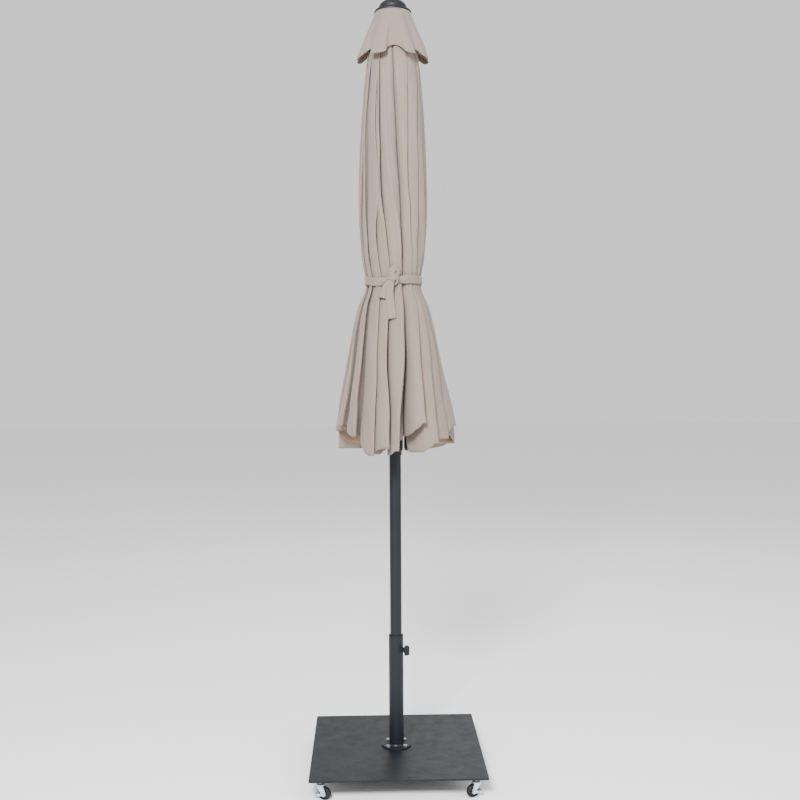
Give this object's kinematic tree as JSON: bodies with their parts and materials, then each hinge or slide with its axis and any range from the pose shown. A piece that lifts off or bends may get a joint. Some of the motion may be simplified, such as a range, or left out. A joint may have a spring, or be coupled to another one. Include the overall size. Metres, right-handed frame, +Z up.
{
  "type": "patio umbrella with base",
  "caption": "Folded market parasol with a vented canopy on hinged ribs, tied round the waist, standing in a square steel base on small braked casters.",
  "frame": {"origin": "on the floor under the centre of the square base plate", "axes": "+Z up along the pole, -Y towards the side with the tie's knot, +X to the viewer's right"},
  "size_m": [0.55, 0.55, 2.48],
  "materials": {
    "frame_paint": "satin dark slate powder coat",
    "bolt_steel": "zinc-plated steel",
    "spring_steel": "spring steel strip",
    "zinc": "bright zinc-plated sheet",
    "black_plastic": "moulded, fine grain",
    "wheel_rubber": "matt black tyre",
    "black_fabric": "felt washer",
    "canopy_fabric": "plain woven polyester, taupe beige"
  },
  "bodies": {
    "base": {"base_plate": "frame_paint", "stand_tube": "frame_paint", "tube_flange": "frame_paint", "flange_fasteners": "bolt_steel", "bottom_bush": "black_plastic", "clamp_boss": "frame_paint", "caster_stems": "bolt_steel"},
    "clamp": {"clamp_knob": "black_plastic"},
    "sleeve": {"reducer_sleeve": "black_plastic"},
    "pole": {"lower_pole": "frame_paint", "upper_pole": "frame_paint", "pole_ferrule": "black_plastic", "pole_foot": "black_plastic", "crown_hub": "black_plastic", "crown_pins": "bolt_steel", "finial_cap": "black_plastic", "finial_stud": "bolt_steel", "crown_patch": "black_fabric", "vent_canopy": "canopy_fabric"},
    "runner": {"runner": "black_plastic", "runner_pins": "bolt_steel", "latch_spring": "spring_steel"},
    "latch": {"runner_latch": "black_plastic"},
    "fork_1": {"caster_fork_1": "zinc"},
    "wheel_1": {"caster_wheel_1": "wheel_rubber"},
    "brake_1": {"caster_brake_1": "zinc"},
    "fork_2": {"caster_fork_2": "zinc"},
    "wheel_2": {"caster_wheel_2": "wheel_rubber"},
    "brake_2": {"caster_brake_2": "zinc"},
    "fork_3": {"caster_fork_3": "zinc"},
    "wheel_3": {"caster_wheel_3": "wheel_rubber"},
    "brake_3": {"caster_brake_3": "zinc"},
    "fork_4": {"caster_fork_4": "zinc"},
    "wheel_4": {"caster_wheel_4": "wheel_rubber"},
    "brake_4": {"caster_brake_4": "zinc"},
    "rib_1": {"rib_1": "frame_paint"},
    "strut_1": {"strut_1": "frame_paint"},
    "cloth_1": {"canopy_panel_1": "canopy_fabric"},
    "rib_2": {"rib_2": "frame_paint"},
    "strut_2": {"strut_2": "frame_paint"},
    "cloth_2": {"canopy_panel_2": "canopy_fabric"},
    "rib_3": {"rib_3": "frame_paint"},
    "strut_3": {"strut_3": "frame_paint"},
    "cloth_3": {"canopy_panel_3": "canopy_fabric"},
    "rib_4": {"rib_4": "frame_paint"},
    "strut_4": {"strut_4": "frame_paint"},
    "cloth_4": {"canopy_panel_4": "canopy_fabric"},
    "rib_5": {"rib_5": "frame_paint"},
    "strut_5": {"strut_5": "frame_paint"},
    "cloth_5": {"canopy_panel_5": "canopy_fabric"},
    "rib_6": {"rib_6": "frame_paint", "tie_strap": "canopy_fabric"},
    "strut_6": {"strut_6": "frame_paint"},
    "cloth_6": {"canopy_panel_6": "canopy_fabric"},
    "rib_7": {"rib_7": "frame_paint"},
    "strut_7": {"strut_7": "frame_paint"},
    "cloth_7": {"canopy_panel_7": "canopy_fabric"},
    "rib_8": {"rib_8": "frame_paint"},
    "strut_8": {"strut_8": "frame_paint"},
    "cloth_8": {"canopy_panel_8": "canopy_fabric"}
  },
  "joints": [
    {"name": "clamp_turn", "type": "hinge", "parent": "base", "child": "clamp", "pos_m": [0, 0, 0.394], "axis": [0.766, -0.6428, 0], "range_deg": [0, 720]},
    {"name": "umbrella_turn", "type": "hinge", "parent": "base", "child": "sleeve", "pos_m": [0, 0, 0.436], "axis": [0, 0, 1], "continuous": true},
    {"name": "pole_lift", "type": "slide", "parent": "sleeve", "child": "pole", "axis": [0, 0, 1], "range_m": [0, 0.36]},
    {"name": "caster_swivel_1", "type": "hinge", "parent": "base", "child": "fork_1", "pos_m": [-0.24, -0.24, 0.049], "axis": [0, 0, 1], "continuous": true},
    {"name": "wheel_spin_1", "type": "hinge", "parent": "fork_1", "child": "wheel_1", "pos_m": [-0.22684, -0.24479, 0.019], "axis": [0.342, 0.9397, 0], "continuous": true},
    {"name": "brake_lift_1", "type": "hinge", "parent": "fork_1", "child": "brake_1", "pos_m": [-0.22684, -0.24479, 0.019], "axis": [0.342, 0.9397, 0], "range_deg": [0, 18]},
    {"name": "caster_swivel_2", "type": "hinge", "parent": "base", "child": "fork_2", "pos_m": [0.24, -0.24, 0.049], "axis": [0, 0, 1], "continuous": true},
    {"name": "wheel_spin_2", "type": "hinge", "parent": "fork_2", "child": "wheel_2", "pos_m": [0.22684, -0.24479, 0.019], "axis": [0.342, -0.9397, 0], "continuous": true},
    {"name": "brake_lift_2", "type": "hinge", "parent": "fork_2", "child": "brake_2", "pos_m": [0.22684, -0.24479, 0.019], "axis": [0.342, -0.9397, 0], "range_deg": [0, 18]},
    {"name": "caster_swivel_3", "type": "hinge", "parent": "base", "child": "fork_3", "pos_m": [0.24, 0.24, 0.049], "axis": [0, 0, 1], "continuous": true},
    {"name": "wheel_spin_3", "type": "hinge", "parent": "fork_3", "child": "wheel_3", "pos_m": [0.22788, 0.247, 0.019], "axis": [-0.5, -0.866, 0], "continuous": true},
    {"name": "brake_lift_3", "type": "hinge", "parent": "fork_3", "child": "brake_3", "pos_m": [0.22788, 0.247, 0.019], "axis": [-0.5, -0.866, 0], "range_deg": [0, 18]},
    {"name": "caster_swivel_4", "type": "hinge", "parent": "base", "child": "fork_4", "pos_m": [-0.24, 0.24, 0.049], "axis": [0, 0, 1], "continuous": true},
    {"name": "wheel_spin_4", "type": "hinge", "parent": "fork_4", "child": "wheel_4", "pos_m": [-0.22853, 0.24803, 0.019], "axis": [-0.5736, 0.8192, 0], "continuous": true},
    {"name": "brake_lift_4", "type": "hinge", "parent": "fork_4", "child": "brake_4", "pos_m": [-0.22853, 0.24803, 0.019], "axis": [-0.5736, 0.8192, 0], "range_deg": [0, 18]},
    {"name": "rib_fold_1", "type": "hinge", "parent": "pole", "child": "rib_1", "pos_m": [0.02494, 0.01033, 2.416], "axis": [0.3827, -0.9239, 0], "range_deg": [0, 72], "deforming": ["vent_canopy"]},
    {"name": "strut_swing_1", "type": "hinge", "parent": "rib_1", "child": "strut_1", "pos_m": [0.02494, 0.01033, 1.766], "axis": [0.3827, -0.9239, 0], "range_deg": [-144, 0]},
    {"name": "canopy_spread_1", "type": "hinge", "parent": "rib_1", "child": "cloth_1", "pos_m": [0.04342, 0.01799, 2.45089], "axis": [0.8678, 0.4969, 0], "range_deg": [0, 42.7], "deforming": ["canopy_panel_1"]},
    {"name": "rib_fold_2", "type": "hinge", "parent": "pole", "child": "rib_2", "pos_m": [0.01033, 0.02494, 2.416], "axis": [0.9239, -0.3827, 0], "range_deg": [0, 72]},
    {"name": "strut_swing_2", "type": "hinge", "parent": "rib_2", "child": "strut_2", "pos_m": [0.01033, 0.02494, 1.766], "axis": [0.9239, -0.3827, 0], "range_deg": [-144, 0]},
    {"name": "canopy_spread_2", "type": "hinge", "parent": "rib_2", "child": "cloth_2", "pos_m": [0.01799, 0.04342, 2.45089], "axis": [0.2623, 0.965, 0], "range_deg": [0, 42.7], "deforming": ["canopy_panel_2"]},
    {"name": "rib_fold_3", "type": "hinge", "parent": "pole", "child": "rib_3", "pos_m": [-0.01033, 0.02494, 2.416], "axis": [0.9239, 0.3827, 0], "range_deg": [0, 72]},
    {"name": "strut_swing_3", "type": "hinge", "parent": "rib_3", "child": "strut_3", "pos_m": [-0.01033, 0.02494, 1.766], "axis": [0.9239, 0.3827, 0], "range_deg": [-144, 0]},
    {"name": "canopy_spread_3", "type": "hinge", "parent": "rib_3", "child": "cloth_3", "pos_m": [-0.01799, 0.04342, 2.45089], "axis": [-0.4969, 0.8678, 0], "range_deg": [0, 42.7], "deforming": ["canopy_panel_3"]},
    {"name": "rib_fold_4", "type": "hinge", "parent": "pole", "child": "rib_4", "pos_m": [-0.02494, 0.01033, 2.416], "axis": [0.3827, 0.9239, 0], "range_deg": [0, 72]},
    {"name": "strut_swing_4", "type": "hinge", "parent": "rib_4", "child": "strut_4", "pos_m": [-0.02494, 0.01033, 1.766], "axis": [0.3827, 0.9239, 0], "range_deg": [-144, 0]},
    {"name": "canopy_spread_4", "type": "hinge", "parent": "rib_4", "child": "cloth_4", "pos_m": [-0.04342, 0.01799, 2.45089], "axis": [-0.965, 0.2623, 0], "range_deg": [0, 42.7], "deforming": ["canopy_panel_4"]},
    {"name": "rib_fold_5", "type": "hinge", "parent": "pole", "child": "rib_5", "pos_m": [-0.02494, -0.01033, 2.416], "axis": [-0.3827, 0.9239, 0], "range_deg": [0, 72]},
    {"name": "strut_swing_5", "type": "hinge", "parent": "rib_5", "child": "strut_5", "pos_m": [-0.02494, -0.01033, 1.766], "axis": [-0.3827, 0.9239, 0], "range_deg": [-144, 0]},
    {"name": "canopy_spread_5", "type": "hinge", "parent": "rib_5", "child": "cloth_5", "pos_m": [-0.04342, -0.01799, 2.45089], "axis": [-0.8678, -0.4969, 0], "range_deg": [0, 42.7], "deforming": ["canopy_panel_5"]},
    {"name": "rib_fold_6", "type": "hinge", "parent": "pole", "child": "rib_6", "pos_m": [-0.01033, -0.02494, 2.416], "axis": [-0.9239, 0.3827, 0], "range_deg": [0, 72], "deforming": ["tie_strap"]},
    {"name": "strut_swing_6", "type": "hinge", "parent": "rib_6", "child": "strut_6", "pos_m": [-0.01033, -0.02494, 1.766], "axis": [-0.9239, 0.3827, 0], "range_deg": [-144, 0]},
    {"name": "canopy_spread_6", "type": "hinge", "parent": "rib_6", "child": "cloth_6", "pos_m": [-0.01799, -0.04342, 2.45089], "axis": [-0.2623, -0.965, 0], "range_deg": [0, 42.7], "deforming": ["canopy_panel_6"]},
    {"name": "rib_fold_7", "type": "hinge", "parent": "pole", "child": "rib_7", "pos_m": [0.01033, -0.02494, 2.416], "axis": [-0.9239, -0.3827, 0], "range_deg": [0, 72]},
    {"name": "strut_swing_7", "type": "hinge", "parent": "rib_7", "child": "strut_7", "pos_m": [0.01033, -0.02494, 1.766], "axis": [-0.9239, -0.3827, 0], "range_deg": [-144, 0]},
    {"name": "canopy_spread_7", "type": "hinge", "parent": "rib_7", "child": "cloth_7", "pos_m": [0.01799, -0.04342, 2.45089], "axis": [0.4969, -0.8678, 0], "range_deg": [0, 42.7], "deforming": ["canopy_panel_7"]},
    {"name": "rib_fold_8", "type": "hinge", "parent": "pole", "child": "rib_8", "pos_m": [0.02494, -0.01033, 2.416], "axis": [-0.3827, -0.9239, 0], "range_deg": [0, 72]},
    {"name": "strut_swing_8", "type": "hinge", "parent": "rib_8", "child": "strut_8", "pos_m": [0.02494, -0.01033, 1.766], "axis": [-0.3827, -0.9239, 0], "range_deg": [-144, 0]},
    {"name": "canopy_spread_8", "type": "hinge", "parent": "rib_8", "child": "cloth_8", "pos_m": [0.04342, -0.01799, 2.45089], "axis": [0.965, -0.2623, 0], "range_deg": [0, 42.7], "deforming": ["canopy_panel_8"]},
    {"name": "runner_pivot", "type": "hinge", "parent": "strut_1", "child": "runner", "pos_m": [0.02494, 0.01033, 1.116], "axis": [0.3827, -0.9239, 0], "range_deg": [0, 72]},
    {"name": "latch_press", "type": "hinge", "parent": "runner", "child": "latch", "pos_m": [0, 0.0255, 1.064], "axis": [-1, 0, 0], "range_deg": [-8, 4], "stiffness_Nm_per_rad": 0.4, "springref_deg": -14.32, "deforming": ["latch_spring"]}
  ],
  "couplings": [
    {"joint": "strut_swing_1", "follows": "rib_fold_1", "ratio": -2},
    {"joint": "canopy_spread_1", "follows": "rib_fold_1", "ratio": 0.59287},
    {"joint": "rib_fold_2", "follows": "rib_fold_1", "ratio": 1},
    {"joint": "strut_swing_2", "follows": "rib_fold_1", "ratio": -2},
    {"joint": "canopy_spread_2", "follows": "rib_fold_1", "ratio": 0.59287},
    {"joint": "rib_fold_3", "follows": "rib_fold_1", "ratio": 1},
    {"joint": "strut_swing_3", "follows": "rib_fold_1", "ratio": -2},
    {"joint": "canopy_spread_3", "follows": "rib_fold_1", "ratio": 0.59287},
    {"joint": "rib_fold_4", "follows": "rib_fold_1", "ratio": 1},
    {"joint": "strut_swing_4", "follows": "rib_fold_1", "ratio": -2},
    {"joint": "canopy_spread_4", "follows": "rib_fold_1", "ratio": 0.59287},
    {"joint": "rib_fold_5", "follows": "rib_fold_1", "ratio": 1},
    {"joint": "strut_swing_5", "follows": "rib_fold_1", "ratio": -2},
    {"joint": "canopy_spread_5", "follows": "rib_fold_1", "ratio": 0.59287},
    {"joint": "rib_fold_6", "follows": "rib_fold_1", "ratio": 1},
    {"joint": "strut_swing_6", "follows": "rib_fold_1", "ratio": -2},
    {"joint": "canopy_spread_6", "follows": "rib_fold_1", "ratio": 0.59287},
    {"joint": "rib_fold_7", "follows": "rib_fold_1", "ratio": 1},
    {"joint": "strut_swing_7", "follows": "rib_fold_1", "ratio": -2},
    {"joint": "canopy_spread_7", "follows": "rib_fold_1", "ratio": 0.59287},
    {"joint": "rib_fold_8", "follows": "rib_fold_1", "ratio": 1},
    {"joint": "strut_swing_8", "follows": "rib_fold_1", "ratio": -2},
    {"joint": "canopy_spread_8", "follows": "rib_fold_1", "ratio": 0.59287},
    {"joint": "runner_pivot", "follows": "rib_fold_1", "ratio": 1}
  ]
}
